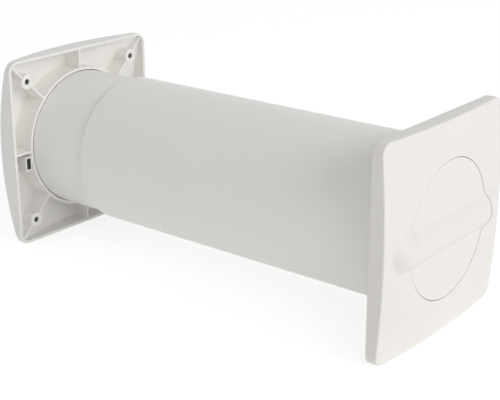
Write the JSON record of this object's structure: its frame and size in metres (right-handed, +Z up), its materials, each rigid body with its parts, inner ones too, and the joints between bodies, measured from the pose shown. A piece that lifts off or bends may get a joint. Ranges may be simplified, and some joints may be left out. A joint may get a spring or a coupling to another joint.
{
  "type": "wall vent sleeve",
  "caption": "Telescopic round wall duct with a square domed room cover, a tilting closing flap under a ridge, and a square outside cover with a round louvred weather grille.",
  "frame": {"origin": "on the duct axis, in the plane where the room cover's rim meets the room side of the wall", "axes": "+Y along the duct from the room to the outside, +Z up, X level across the covers and along the flap's hinge"},
  "size_m": [0.136, 0.3442, 0.136],
  "materials": {
    "cover_white": "satin moulded, fine grain",
    "tube_white": "satin extruded",
    "screen_grey": "matt moulded"
  },
  "bodies": {
    "room_side": {"room_cover": "cover_white", "outer_tube": "tube_white"},
    "flap": {"closing_flap": "cover_white"},
    "outside_half": {"inner_tube": "tube_white", "outer_cover": "cover_white", "weather_grille": "cover_white", "insect_screen": "screen_grey"}
  },
  "joints": [
    {"name": "flap_tilt", "type": "hinge", "parent": "room_side", "child": "flap", "pos_m": [0, -0.0105, 0], "axis": [1, 0, 0], "range_deg": [0, 90]},
    {"name": "duct_slide", "type": "slide", "parent": "room_side", "child": "outside_half", "axis": [0, 1, 0], "range_m": [0, 0.2]}
  ]
}
